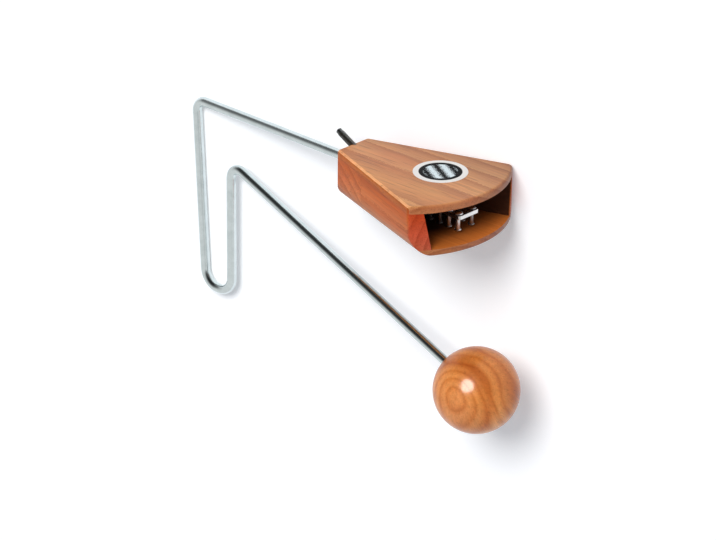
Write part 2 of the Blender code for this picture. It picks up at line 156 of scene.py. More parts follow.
def bore(piece, place, radius, depth, sides):
    bm = bmesh.new()
    addPeg(bm, radius, 2.0 * depth, sides)
    cutAway(piece, bm, place)


def finishPiece(piece, finishes, body, slotName, *nodes, sharpAngle=40.0):
    for finish in finishes:
        piece.data.materials.append(finish)
    piece.data.shade_smooth()
    piece.data.set_sharp_from_angle(angle=math.radians(sharpAngle))
    evenNormals = piece.modifiers.new("even normals", "WEIGHTED_NORMAL")
    evenNormals.keep_sharp = True
    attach(piece, body)
    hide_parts(*nodes)


def aimedAt(place, direction):
    return Matrix.Translation(place) @ direction.to_track_quat("Z", "Y").to_matrix().to_4x4()


# Small helpers for materials

def startMaterial(name):
    material = bpy.data.materials.new(name)
    material.use_nodes = True
    tree = material.node_tree
    return material, tree, tree.nodes["Principled BSDF"]


def addNode(tree, kind, **settings):
    node = tree.nodes.new(kind)
    for key, value in settings.items():
        setattr(node, key, value)
    return node


def setInputs(node, **values):
    # the words of a socket's name are joined by an underscore
    for key, value in values.items():
        node.inputs[key.replace("_", " ")].default_value = value


def drawnAxes(tree, centre=(0.0, 0.0, 0.0), turn=Matrix.Identity(3)):
    # Object coordinates turned into the drawing's axes, measured from a point of the drawing
    coords = addNode(tree, "ShaderNodeTexCoord")
    toDrawing = addNode(tree, "ShaderNodeMapping", vector_type="TEXTURE")
    toDrawing.inputs["Location"].default_value = drawing @ Vector(centre)
    toDrawing.inputs["Rotation"].default_value = (drawingTurn @ turn).to_euler()
    tree.links.new(coords.outputs["Object"], toDrawing.inputs["Vector"])
    return toDrawing.outputs["Vector"]


def stretched(tree, vector, scale):
    node = addNode(tree, "ShaderNodeMapping", vector_type="POINT")
    node.inputs["Scale"].default_value = scale
    tree.links.new(vector, node.inputs["Vector"])
    return node.outputs["Vector"]


def noise(tree, vector, scale, detail=3.0, roughness=0.5):
    node = addNode(tree, "ShaderNodeTexNoise")
    setInputs(node, Scale=scale, Detail=detail, Roughness=roughness)
    tree.links.new(vector, node.inputs["Vector"])
    return node.outputs["Fac"]


def scaled(tree, value, factor, offset=0.0):
    node = addNode(tree, "ShaderNodeMath", operation="MULTIPLY_ADD")
    node.inputs[1].default_value = factor
    node.inputs[2].default_value = offset
    tree.links.new(value, node.inputs[0])
    return node.outputs["Value"]


def ramp(tree, factor, stops):
    node = addNode(tree, "ShaderNodeValToRGB")
    elements = node.color_ramp.elements
    while len(elements) < len(stops):
        elements.new(1.0)
    for element, (place, colour) in zip(elements, stops):
        element.position = place
        element.color = (*colour, 1.0) if isinstance(colour, tuple) else (colour, colour, colour, 1.0)
    tree.links.new(factor, node.inputs["Fac"])
    return node.outputs["Color"]


def mixColour(tree, blend, factor, first, second):
    node = addNode(tree, "ShaderNodeMix", data_type="RGBA", blend_type=blend)
    sockets = {socket.identifier: socket for socket in node.inputs}
    for identifier, value in (("Factor_Float", factor), ("A_Color", first), ("B_Color", second)):
        if isinstance(value, bpy.types.NodeSocket):
            tree.links.new(value, sockets[identifier])
        else:
            sockets[identifier].default_value = value
    return {socket.identifier: socket for socket in node.outputs}["Result_Color"]


def bumpFrom(tree, shader, height, strength, distance):
    node = addNode(tree, "ShaderNodeBump")
    setInputs(node, Strength=strength, Distance=distance)
    tree.links.new(height, node.inputs["Height"])
    tree.links.new(node.outputs["Normal"], shader.inputs["Normal"])


def drifted(tree, colour, drifts):
    # slow changes of colour: the axis, the span along it and the tints from one end to the other
    for axis, span, stops in drifts:
        split = addNode(tree, "ShaderNodeSeparateXYZ")
        tree.links.new(drawnAxes(tree), split.inputs["Vector"])
        share = addNode(tree, "ShaderNodeMapRange")
        setInputs(share, From_Min=span[0], From_Max=span[1])
        tree.links.new(split.outputs[axis], share.inputs["Value"])
        colour = mixColour(tree, "MULTIPLY", 1.0, colour, ramp(tree, share.outputs["Result"], stops))
    return colour


def flatReach(tree, centre):
    # distance from a point of the drawing, seen square to the top board
    reach = addNode(tree, "ShaderNodeVectorMath", operation="LENGTH")
    tree.links.new(stretched(tree, drawnAxes(tree, centre), (1.0, 1.0, 0.0)), reach.inputs[0])
    return reach.outputs["Value"]


def mouthDepth(tree, depth):
    # 1 at the mouth's bowed front, falling to 0 at the given depth behind it
    return scaled(tree, flatReach(tree, mouthMiddle), 1.0 / depth, 1.0 - mouthRadius / depth)


# What all woods share: along the grain every pattern is drawn out by its stretch
woodGrain = {
    "ringStretch": (0.16, 1.0, 1.0), "ringsPerUnit": 20.0 / (2.0 * math.pi), "wanderDetail": 2.0,
    "ringDistortion": 1.2, "ringDetail": 2.0, "ringDetailScale": 60.0,
    "fibreStretch": (0.05, 1.0, 1.0), "fibreDetail": 4.0, "fibreRoughness": 0.65,
    "fibreStops": ((0.30, 0.72), (0.70, 1.16)),
    "patchStretch": (0.45, 1.0, 1.0), "patchDetail": 2.0, "patchRoughness": 0.5,
    "poreStretch": (0.035, 1.0, 1.0), "poreDetail": 1.0, "poreRoughness": 0.4,
    "poreStops": ((0.30, 0.42), (0.385, 1.0)),
    "endStops": ((0.0, 0.0), (0.8, 1.0)), "bumpDepth": 0.0002,
}


def fibreNoise(tree, grain, look):
    drawnOut = stretched(tree, grain, woodGrain["fibreStretch"])
    return noise(tree, drawnOut, look["fibreScale"], woodGrain["fibreDetail"], woodGrain["fibreRoughness"])


# Varnished wood: growth rings round a pith line, streaky fibres, dark pores, a clear coat
def varnishedWood(name, look):
    material, tree, shader = startMaterial(name)
    grain = drawnAxes(tree, look["pith"], look["turn"])
    slow = stretched(tree, grain, woodGrain["ringStretch"])
    wander = addNode(tree, "ShaderNodeTexNoise")
    setInputs(wander, Scale=look["wanderScale"], Detail=woodGrain["wanderDetail"])
    tree.links.new(slow, wander.inputs["Vector"])
    push = addNode(tree, "ShaderNodeVectorMath", operation="MULTIPLY_ADD")
    push.inputs[1].default_value = (look["wander"],) * 3
    tree.links.new(wander.outputs["Color"], push.inputs[0])
    tree.links.new(slow, push.inputs[2])
    rings = addNode(tree, "ShaderNodeTexWave", wave_type="RINGS", rings_direction="X", wave_profile="SAW")
    setInputs(rings, Scale=1.0 / (woodGrain["ringsPerUnit"] * look["ringWidth"]),
              Distortion=woodGrain["ringDistortion"], Detail=woodGrain["ringDetail"],
              Detail_Scale=woodGrain["ringDetailScale"])
    tree.links.new(push.outputs["Vector"], rings.inputs["Vector"])
    ringColour = ramp(tree, rings.outputs["Fac"], look["ringStops"])
    fibres = fibreNoise(tree, grain, look)
    fibreTone = ramp(tree, fibres, woodGrain["fibreStops"])
    patches = noise(tree, stretched(tree, grain, woodGrain["patchStretch"]), look["patchScale"],
                    woodGrain["patchDetail"], woodGrain["patchRoughness"])
    patchColour = ramp(tree, patches, look["patchStops"])
    pores = noise(tree, stretched(tree, grain, woodGrain["poreStretch"]), look["poreScale"],
                  woodGrain["poreDetail"], woodGrain["poreRoughness"])
    poreTone = ramp(tree, pores, woodGrain["poreStops"])
    colour = mixColour(tree, "MULTIPLY", 1.0, ringColour, patchColour)
    colour = mixColour(tree, "MULTIPLY", look["fibreShare"], colour, fibreTone)
    colour = mixColour(tree, "MULTIPLY", look["poreShare"], colour, poreTone)
    colour = drifted(tree, colour, look["drifts"])
    if "endStain" in look:
        nearMouth = ramp(tree, mouthDepth(tree, look["endDepth"]), woodGrain["endStops"])
        stained = mixColour(tree, "MULTIPLY", 1.0, colour, look["endStain"])
        colour = mixColour(tree, "MIX", nearMouth, colour, stained)
    tree.links.new(colour, shader.inputs["Base Color"])
    tree.links.new(ramp(tree, fibres, look["roughStops"]), shader.inputs["Roughness"])
    shader.inputs["Coat Weight"].default_value = look["coat"]
    shader.inputs["Coat Roughness"].default_value = look["coatRoughness"]
    shader.inputs["Specular IOR Level"].default_value = look["specular"]
    bumpFrom(tree, shader, fibreTone, look["bump"], woodGrain["bumpDepth"])
    return material


# Inside of the box: painted shade, dark deep inside and thinning out towards the lip of the mouth
def paintedShadeInside(name, look):
    material, tree, shader = startMaterial(name)
    fibres = fibreNoise(tree, drawnAxes(tree, look["pith"], look["turn"]), look)
    wood = ramp(tree, fibres, look["insideStops"])
    paintedShadeColour = ramp(tree, fibres, look["paintedShadeStops"])
    fade = ramp(tree, mouthDepth(tree, look["paintedShadeDepth"]), look["fadeStops"])
    tree.links.new(mixColour(tree, "MIX", fade, paintedShadeColour, wood), shader.inputs["Base Color"])
    tree.links.new(ramp(tree, fibres, look["insideRoughStops"]), shader.inputs["Roughness"])
    shader.inputs["Specular IOR Level"].default_value = look["insideSpecular"]
    bumpFrom(tree, shader, fibres, look["bump"], woodGrain["bumpDepth"])
    return material


# Bright or dark metal: uneven polish, with fine lines along one direction where it has a stretch
metalGrain = {
    "cloudDetail": 3.0, "cloudRoughness": 0.55, "lineDetail": 2.0, "lineRoughness": 0.6,
    "bumpDepth": 0.00005,
}


def polishedMetal(name, look):
    material, tree, shader = startMaterial(name)
    place = drawnAxes(tree)
    cloud = noise(tree, place, look["cloudScale"], metalGrain["cloudDetail"], metalGrain["cloudRoughness"])
    lines = noise(tree, stretched(tree, place, look["lineStretch"]), look["lineScale"],
                  metalGrain["lineDetail"], metalGrain["lineRoughness"])
    tone = drifted(tree, ramp(tree, cloud, look["toneStops"]), look.get("drifts", ()))
    tree.links.new(tone, shader.inputs["Base Color"])
    tree.links.new(ramp(tree, lines, look["roughStops"]), shader.inputs["Roughness"])
    shader.inputs["Metallic"].default_value = 1.0
    bumpFrom(tree, shader, lines, look["bump"], metalGrain["bumpDepth"])
    return material


# Rod: one bar bent four times, from the box to the ball
rod = {
    "diameter": 0.00635, "sides": 48, "bendSteps": 20, "bendRadius": 0.0075, "gripRadius": 0.011941,
    "corners": ((0.1675, 0.0), (0.0, 0.0), (0.0073, -0.130), (0.0315, -0.130), (0.0315, -0.0350)),
    "ballCentre": (0.2490, -0.1236), "endInBall": 0.00375, "endChamfer": 0.0006, "endSegments": 2,
}
ballCentre = Vector((rod["ballCentre"][0], 0.0, rod["ballCentre"][1]))
rodCorners = [Vector((x, 0.0, z)) for x, z in rod["corners"]]
ballArm = (ballCentre - rodCorners[-1]).normalized()
rodCorners.append(ballCentre - ballArm * rod["endInBall"])
bendRadii = (rod["bendRadius"], rod["gripRadius"], rod["gripRadius"], rod["bendRadius"])

bm = bmesh.new()
firstRun = rodCorners[1] - rodCorners[0]
ring = bmesh.ops.create_circle(bm, segments=rod["sides"], radius=0.5 * rod["diameter"],
                               matrix=aimedAt(rodCorners[0], firstRun))["verts"]
ringEdges = list({edge for vert in ring for edge in vert.link_edges})


def pushRing(bm, edges, step):
    grown = bmesh.ops.extrude_edge_only(bm, edges=edges)["geom"]
    moved = vertsOf(grown)
    bmesh.ops.translate(bm, verts=moved, vec=step)
    movedSet = set(moved)
    return [edge for edge in edgesOf(grown) if all(vert in movedSet for vert in edge.verts)]


ringPlace = rodCorners[0]
for index, radius in enumerate(bendRadii, start=1):
    corner = rodCorners[index]
    back = (rodCorners[index - 1] - corner).normalized()
    ahead = (rodCorners[index + 1] - corner).normalized()
    bendAngle = math.pi - back.angle(ahead)
    tangent = radius * math.tan(0.5 * bendAngle)
    bendStart = corner + back * tangent
    bendMiddle = corner + (back + ahead).normalized() * (radius / math.cos(0.5 * bendAngle))
    ringEdges = pushRing(bm, ringEdges, bendStart - ringPlace)
    bent = bmesh.ops.spin(bm, geom=ringEdges, cent=bendMiddle, axis=ahead.cross(back).normalized(),
                          angle=bendAngle, steps=rod["bendSteps"])
    ringEdges = edgesOf(bent["geom_last"])
    ringPlace = corner + ahead * tangent
pushRing(bm, ringEdges, rodCorners[-1] - ringPlace)
openEnds = [edge for edge in bm.edges if edge.is_boundary]
bmesh.ops.holes_fill(bm, edges=openEnds, sides=rod["sides"])
easeEdges(bm, openEnds, rod["endChamfer"], rod["endSegments"])
tidyShell(bm)
nickelRod = polishedMetal("nickel plated rod", {
    "toneStops": ((0.30, (0.62, 0.69, 0.695)), (0.70, (0.72, 0.79, 0.795))),
    "roughStops": ((0.25, 0.14), (0.75, 0.26)),
    "cloudScale": 140.0, "lineStretch": (1.0, 1.0, 1.0), "lineScale": 900.0, "bump": 0.05,
})
rodPiece = makeObject(bm, "bent_rod")
finishPiece(rodPiece, [nickelRod], "box_and_rod", "rod", "rod")
print("rod bent:", len(rodPiece.data.polygons), "faces")

# Ball: turned about the rod, with a blind bore and an eased mouth
ball = {
    "diameter": 0.055, "boreRadius": 0.003375, "boreFloor": 0.0035, "mouthEase": 0.0006,
    "profileSteps": 56, "turns": 112, "grain": (0.221, -0.678, 0.702),
}
ballRadius = 0.5 * ball["diameter"]
mouthReach = ball["boreRadius"] + ball["mouthEase"]
mouthAngle = math.asin(mouthReach / ballRadius)
mouthHeight = ballRadius * math.cos(mouthAngle)
bm = bmesh.new()
vert = bm.verts.new((0.0, 0.0, ball["boreFloor"]))
vert = lineTo(bm, vert, (ball["boreRadius"], 0.0, ball["boreFloor"]))
vert = lineTo(bm, vert, (ball["boreRadius"], 0.0, mouthHeight - ball["mouthEase"]))
vert = lineTo(bm, vert, (mouthReach, 0.0, mouthHeight))
sweep(bm, vert, (0, 0, 0), math.pi - mouthAngle, ball["profileSteps"], axis=(0, 1, 0))
turnOnLathe(bm, ball["turns"])
ballGrain = Vector((1.0, 0.0, 0.0)).rotation_difference(Vector(ball["grain"])).to_matrix()
ballWood = varnishedWood("varnished ball wood", {
    "pith": ballCentre, "turn": ballGrain,
    "wander": 0.022, "wanderScale": 20.0, "ringWidth": 0.0062,
    "ringStops": ((0.0, (0.58, 0.175, 0.033)), (0.25, (0.64, 0.216, 0.047)), (0.65, (0.60, 0.185, 0.036)),
                  (0.90, (0.51, 0.136, 0.022)), (1.0, (0.56, 0.165, 0.030))),
    # painted light: the drift along Z lightens and pales the lower half of the ball, standing in for light
    # thrown up from the white floor; the drift along Y paints light and shade, lighter paler zones and a
    # darker band, across the half towards -y
    "drifts": (
        ("Z", (-0.151, -0.122), ((0.0, (1.18, 1.50, 2.40)), (1.0, (1.0, 1.0, 1.0)))),
        ("Y", (-0.0275, 0.0), (
            (0.06, (1.05, 1.12, 1.35)), (0.30, (1.02, 1.07, 1.15)), (0.50, (0.80, 0.66, 0.54)),
            (0.72, (1.06, 1.13, 1.20)), (1.0, (0.96, 0.94, 1.0)))),
    ),
    "fibreScale": 520.0, "fibreShare": 0.60, "patchScale": 34.0,
    "patchStops": ((0.35, (0.88, 0.80, 0.74)), (0.65, (1.08, 1.12, 1.12))),
    "poreScale": 1500.0, "poreShare": 0.40, "roughStops": ((0.2, 0.30), (0.8, 0.44)),
    "coat": 0.42, "coatRoughness": 0.15, "specular": 0.08, "bump": 0.05,
})
ballPiece = makeObject(bm, "turned_ball", aimedAt(ballCentre, -ballArm))
finishPiece(ballPiece, [ballWood], "box_and_rod", "ball", "ball")
print("ball turned:", len(ballPiece.data.polygons), "faces")

# Box: two fan-shaped boards and two side walls
box = {
    "start": 0.140, "length": 0.0925, "narrow": 0.0275, "wide": 0.0945, "bow": 0.0190,
    "top": 0.0109, "height": 0.0338, "board": 0.0045, "wall": 0.009, "block": 0.032,
    "narrowCorner": 0.0025, "wideCorner": 0.004, "edgeRound": 0.0022, "wallLean": 0.005,
    "bellyNarrow": 0.012, "bellyWide": 0.018, "glueGap": 0.00025, "glueLine": 0.00003,
    "ledge": 0.012, "ledgeTop": -0.00795, "ledgeGap": 0.00025, "ledgeRoom": 0.05,
    "rodBore": 0.003375, "rodBoreDepth": 0.02775, "boreSides": 40,
    "mouthSteps": 36, "cornerSteps": 8, "edgeSegments": 6, "bellySteps": 16,
    # the cutters start one box length before the narrow end, with a spare and a rise that are
    # shares of the belly's radius
    "cutterLengths": 3.0, "cutterSpare": 0.5, "cutterRise": 1.1,
    # how nearly a face has to look along a direction to take the finish of that side
    "insideLimit": 0.95, "wallInsideLimit": 0.9, "edgeHighlightLimit": 0.90, "rimLimit": 0.85, "edgeHighlightTilt": 0.7,
}
flare = math.atan(0.5 * (box["wide"] - box["narrow"]) / box["length"])
sideRun = Vector((math.cos(flare), math.sin(flare), 0.0))
sideOut = Vector((-math.sin(flare), math.cos(flare), 0.0))
narrowPoint = Vector((box["start"], 0.5 * box["narrow"], 0.0))
mouthRadius = ((0.5 * box["wide"]) ** 2 + box["bow"] ** 2) / (2.0 * box["bow"])
mouthMiddle = Vector((box["start"] + box["length"] + box["bow"] - mouthRadius, 0.0, 0.0))
boxBottom = box["top"] - box["height"]


def sideMeets(inset, radius):
    # where a line inside the side, and parallel to it, meets a circle round the mouth's centre
    first = narrowPoint - sideOut * inset
    reach = sideRun.dot(first - mouthMiddle)
    halfChord = math.sqrt(reach ** 2 - (first - mouthMiddle).length_squared + radius ** 2)
    return first + sideRun * (halfChord - reach)


wideMiddle = sideMeets(box["wideCorner"], mouthRadius - box["wideCorner"])
narrowInset = narrowPoint - sideOut * box["narrowCorner"]
narrowAlong = (box["start"] + box["narrowCorner"] - narrowInset.x) / sideRun.x
narrowMiddle = narrowInset + sideRun * narrowAlong
cornerAngle = math.atan2(wideMiddle.y, wideMiddle.x - mouthMiddle.x)
sideAngle = 0.5 * math.pi + flare


def boardSlab(low, high):
    bm = bmesh.new()
    vert = bm.verts.new(mouthMiddle + Vector((mouthRadius, 0.0, 0.0)))
    vert = sweep(bm, vert, mouthMiddle, cornerAngle, box["mouthSteps"])
    vert = sweep(bm, vert, wideMiddle, sideAngle - cornerAngle, box["cornerSteps"])
    vert = lineTo(bm, vert, narrowMiddle + sideOut * box["narrowCorner"])
    vert = sweep(bm, vert, narrowMiddle, math.pi - sideAngle, box["cornerSteps"])
    lineTo(bm, vert, (box["start"], 0.0, 0.0))
    mirrorAcross(bm)
    bmesh.ops.translate(bm, verts=bm.verts[:], vec=(0, 0, low))
    thicken(bm, high - low)
    return bm


def sideCutter(side, startSection, stretch, lift):
    # runs a section along one flared side; the section grows by stretch about the height lift
    bm = bmesh.new()
    rim = [bm.verts.new((out, -box["length"], height)) for out, height in startSection]
    for first, second in zip(rim, rim[1:] + rim[:1]):
        bm.edges.new((first, second))
    bmesh.ops.contextual_create(bm, geom=bm.edges[:])
    grown = vertsOf(bmesh.ops.extrude_face_region(bm, geom=bm.faces[:])["geom"])
    bmesh.ops.translate(bm, verts=grown, vec=(0, box["cutterLengths"] * box["length"], 0))
    bmesh.ops.scale(bm, verts=grown, vec=(stretch, 1, stretch), space=Matrix.Translation((0, 0, -lift)))
    toSide = Matrix((sideOut, sideRun, (0.0, 0.0, 1.0))).transposed().to_4x4()
    bm.transform(Matrix.Translation(narrowPoint) @ toSide)
    bmesh.ops.scale(bm, verts=bm.verts[:], vec=(1, side, 1))
    bmesh.ops.recalc_face_normals(bm, faces=bm.faces[:])
    return bm


def bellyCutter(side):
    # leaves a lower edge of the box round, more so towards the mouth
    growth = (box["bellyWide"] - box["bellyNarrow"]) * sideRun.x
    radius = box["bellyNarrow"] - growth
    stretch = (radius + box["cutterLengths"] * growth) / radius
    spare = box["cutterSpare"] * radius
    crest = boxBottom + box["cutterRise"] * radius
    section = [(spare, boxBottom - spare), (spare, crest), (0.0, crest)]
    for step in range(box["bellySteps"] + 1):
        angle = 0.5 * math.pi * step / box["bellySteps"]
        section.append((radius * (math.cos(angle) - 1.0), boxBottom + radius * (1.0 - math.sin(angle))))
    section.append((-radius, boxBottom - spare))
    return sideCutter(side, section, stretch, boxBottom)


def leanCutter(side, low, high):
    # leaves the inner face of a wall leaning in towards its foot
    lean = box["wallLean"] / (high - low)
    spare = box["wall"]
    foot = box["wall"] + box["wallLean"]
    section = [(lean * spare - box["wall"], high + spare), (-foot - lean * spare, low - spare),
               (-foot - box["wide"], low - spare), (-foot - box["wide"], high + spare)]
    return sideCutter(side, section, 1.0, 0.0)


def blockSlab(low, high):
    blockEnd = box["start"] + box["block"]
    outerEnd = narrowPoint + sideRun * ((blockEnd - narrowPoint.x) / sideRun.x)
    ledgeSide = outerEnd.y - (box["wall"] + box["wallLean"]) / sideRun.x - box["glueGap"]
    bm = bmesh.new()
    vert = bm.verts.new((box["start"], 0.0, low))
    vert = lineTo(bm, vert, (box["start"], narrowMiddle.y, low))
    vert = sweep(bm, vert, narrowMiddle, sideAngle - math.pi, box["cornerSteps"])
    for place in ((blockEnd, outerEnd.y), (blockEnd, ledgeSide), (blockEnd + box["ledge"], ledgeSide)):
        vert = lineTo(bm, vert, (*place, low))
    lineTo(bm, vert, (blockEnd + box["ledge"], 0.0, low))
    mirrorAcross(bm)
    thicken(bm, high - low)
    return bm


def wallSlab(side, low, high):
    wallStart = box["start"] + box["block"] + box["glueLine"]
    bm = bmesh.new()
    outerStart = narrowPoint + sideRun * ((wallStart - narrowPoint.x) / sideRun.x)
    foot = box["wall"] + box["wallLean"]
    innerFirst = narrowPoint - sideOut * foot
    innerStart = innerFirst + sideRun * ((wallStart - innerFirst.x) / sideRun.x)
    innerEnd = sideMeets(foot, mouthRadius)
    endAngle = math.atan2(innerEnd.y, innerEnd.x - mouthMiddle.x)
    first = bm.verts.new(innerStart)
    vert = lineTo(bm, first, outerStart)
    vert = lineTo(bm, vert, wideMiddle + sideOut * box["wideCorner"])
    vert = sweep(bm, vert, wideMiddle, cornerAngle - sideAngle, box["cornerSteps"])
    vert = sweep(bm, vert, mouthMiddle, endAngle - cornerAngle, box["cornerSteps"])
    bm.edges.new((vert, first))
    bmesh.ops.contextual_create(bm, geom=bm.edges[:])
    bmesh.ops.translate(bm, verts=bm.verts[:], vec=(0, 0, low))
    thicken(bm, high - low)
    bmesh.ops.scale(bm, verts=bm.verts[:], vec=(1, side, 1))
    bmesh.ops.recalc_face_normals(bm, faces=bm.faces[:])
    return bm


# The woods of the box, all from the board's look
boardLook = {
    "pith": (0.170, -0.020, -0.060), "turn": Matrix.Rotation(math.radians(3), 3, "Z"),
    "wander": 0.012, "wanderScale": 16.0, "ringWidth": 0.0060,
    "ringStops": ((0.0, (0.66, 0.300, 0.117)), (0.6, (0.60, 0.250, 0.093)), (1.0, (0.46, 0.166, 0.058))),
    "fibreScale": 520.0, "fibreShare": 0.65, "patchScale": 26.0,
    "patchStops": ((0.35, (0.96, 0.86, 0.86)), (0.65, (1.03, 1.10, 1.04))),
    "poreScale": 1500.0, "poreShare": 0.55, "roughStops": ((0.2, 0.34), (0.8, 0.50)),
    "coat": 0.16, "coatRoughness": 0.22, "specular": 0.16, "bump": 0.08,
    "endStain": (0.71, 0.60, 0.66, 1.0), "endDepth": 0.0016,
    # the boards grow darker towards the right side of the box (+y)
    "drifts": (
        ("Y", (-0.05, 0.05), (
            (0.1, (1.0, 0.98, 0.86)), (0.5, (0.95, 0.95, 0.96)), (0.9, (0.64, 0.61, 0.66)))),
    ),
    # painted shade inside the box: the depth over which it thins out towards the mouth, the wood near the
    # lip and the dark shade
    "paintedShadeDepth": 0.030, "fadeStops": ((0.05, 0.0), (0.95, 1.0)),
    "insideStops": ((0.25, (0.45, 0.118, 0.018)), (0.75, (0.62, 0.175, 0.030))),
    "paintedShadeStops": ((0.25, (0.028, 0.008, 0.003)), (0.75, (0.052, 0.014, 0.005))),
    "insideRoughStops": ((0.2, 0.60), (0.8, 0.80)), "insideSpecular": 0.1,
}
wallLook = {
    **boardLook, "pith": (0.170, 0.120, -0.045), "endStain": (0.98, 0.58, 0.72, 1.0),
    "ringStops": ((0.0, (0.50, 0.112, 0.022)), (0.6, (0.46, 0.095, 0.018)), (1.0, (0.37, 0.070, 0.012))),
    # painted reflection: the walls and the block grow paler towards their foot, standing in for the white
    # floor's sheen on the rounded belly
    "drifts": (
        ("Z", (-0.0175, 0.003), (
            (0.0, (1.0, 1.65, 3.2)), (0.5, (1.15, 1.42, 2.4)), (1.0, (1.0, 1.0, 1.0)))),
    ),
    "coat": 0.06, "specular": 0.08,
}
rimLook = {
    **wallLook, "pith": boardLook["pith"], "drifts": (),
    "ringStops": ((0.0, (0.46, 0.124, 0.026)), (0.6, (0.42, 0.106, 0.021)), (1.0, (0.34, 0.079, 0.015))),
}
# painted highlight: a lighter wood for the rounded edges along the sides of the top board, for the light
# they catch
edgeHighlightLook = {
    **boardLook, "drifts": (),
    "ringStops": ((0.0, (0.84, 0.400, 0.170)), (0.6, (0.80, 0.360, 0.145)), (1.0, (0.70, 0.290, 0.110))),
}
boardWood = varnishedWood("varnished board wood", boardLook)
bottomWood = varnishedWood("varnished bottom wood", {**boardLook, "endStain": (0.66, 0.52, 0.56, 1.0)})
edgeHighlightWood = varnishedWood("edge wood with painted highlight", edgeHighlightLook)
rimWood = varnishedWood("varnished board edge wood", rimLook)
leftWood = varnishedWood("varnished left wall wood", {**wallLook, "turn": Matrix.Rotation(-flare, 3, "Z")})
rightWood = varnishedWood("varnished right wall wood", {**wallLook, "turn": Matrix.Rotation(flare, 3, "Z")})

# painted shade on the inside faces: on the boards it darkens deeper into the box, on the walls and the
# block almost at once
shadedInsideBoards = paintedShadeInside("inside boards with painted shade", boardLook)
shadedInsideWood = paintedShadeInside("inside with dark painted shade", {
    **boardLook, "paintedShadeDepth": 0.0010,
    "paintedShadeStops": ((0.25, (0.042, 0.014, 0.006)), (0.75, (0.078, 0.026, 0.011))),
})
blockWood = varnishedWood("varnished block wood", {**wallLook, "pith": (0.170, 0.060, -0.050)})

innerTop = box["top"] - box["board"]
innerBottom = boxBottom + box["board"]
closing = box["glueGap"] - box["glueLine"]  # the boards reach in to a hairline glue joint

clamp = {
    "entry": (0.140, 0.0, 0.0099), "slant": math.radians(27.8), "diameter": 0.0045, "root": 0.00196,
    "stickOut": 0.0138, "inside": 0.0096, "chamfer": 0.0005, "boreRadius": 0.00245, "turns": 40,
    "pitch": 0.0008, "plainTip": 0.0022, "slotWidth": 0.0010, "slotDepth": 0.0014, "slotLength": 0.01,
    # the ridge of the thread: its half width by pitch, the flat of its crest, and how far its foot is sunk
    "ridgeShare": 0.42, "crestShare": 0.16, "ridgeSink": 0.0001, "sharpAngle": 30.0,
}
clampAxis = Vector((-math.cos(clamp["slant"]), 0.0, math.sin(clamp["slant"])))
clampPlace = aimedAt(Vector(clamp["entry"]), clampAxis)
plateScrew = {
    "along": 0.17825, "across": 0.005, "boreRadius": 0.0018, "boreLength": 0.0225, "boreMiddle": -0.0054,
    "boreSides": 24,
}
# places of the finishes on a piece that has more than one
insideFinish, rimFinish, edgeHighlightFinish = 1, 2, 3


def setFinish(piece, number, normal, limit):
    # gives a numbered finish to the faces that look along a direction of the drawing
    aim = drawingTurn @ Vector(normal).normalized()
    for polygon in piece.data.polygons:
        if polygon.normal.dot(aim) > limit:
            polygon.material_index = number


bm = boardSlab(innerTop - closing, box["top"])
roundRim(bm, box["top"], box["edgeRound"], box["edgeSegments"])
topBoard = makeObject(bm, "fan_top_board")
bore(topBoard, clampPlace, clamp["boreRadius"], clamp["stickOut"], box["boreSides"])
setFinish(topBoard, insideFinish, (0.0, 0.0, -1.0), box["insideLimit"])
# both rounded side edges of the top board take the lighter wood of the painted highlight; the side faces
# below take the board edge wood
for side in (-1.0, 1.0):
    outward = Vector((sideOut.x, side * sideOut.y, 0.0))
    setFinish(topBoard, edgeHighlightFinish, outward * box["edgeHighlightTilt"] + Vector((0.0, 0.0, 1.0)), box["edgeHighlightLimit"])
    setFinish(topBoard, rimFinish, outward, box["rimLimit"])
finishPiece(topBoard, [boardWood, shadedInsideBoards, rimWood, edgeHighlightWood], "box_and_rod", "board", "top_board")

bm = boardSlab(boxBottom, innerBottom + closing)
roundRim(bm, boxBottom, box["edgeRound"], box["edgeSegments"])
bottomBoard = makeObject(bm, "fan_bottom_board")
for side in (-1.0, 1.0):
    cutAway(bottomBoard, bellyCutter(side))
setFinish(bottomBoard, insideFinish, (0.0, 0.0, 1.0), box["insideLimit"])
finishPiece(bottomBoard, [bottomWood, shadedInsideBoards], "box_and_rod", "board", "bottom_board")

wallLow = innerBottom + box["glueGap"]
wallHigh = innerTop - box["glueGap"]
for wallName, node, side, wood in (
        ("left_side", "left_wall", -1.0, leftWood), ("right_side", "right_wall", 1.0, rightWood)):
    wall = makeObject(wallSlab(side, wallLow, wallHigh), wallName)
    cutAway(wall, bellyCutter(side))
    cutAway(wall, leanCutter(side, wallLow, wallHigh))
    setFinish(wall, insideFinish, (-sideOut.x, -side * sideOut.y, 0.0), box["wallInsideLimit"])
    finishPiece(wall, [wood, shadedInsideWood], "box_and_rod", "wall", node)

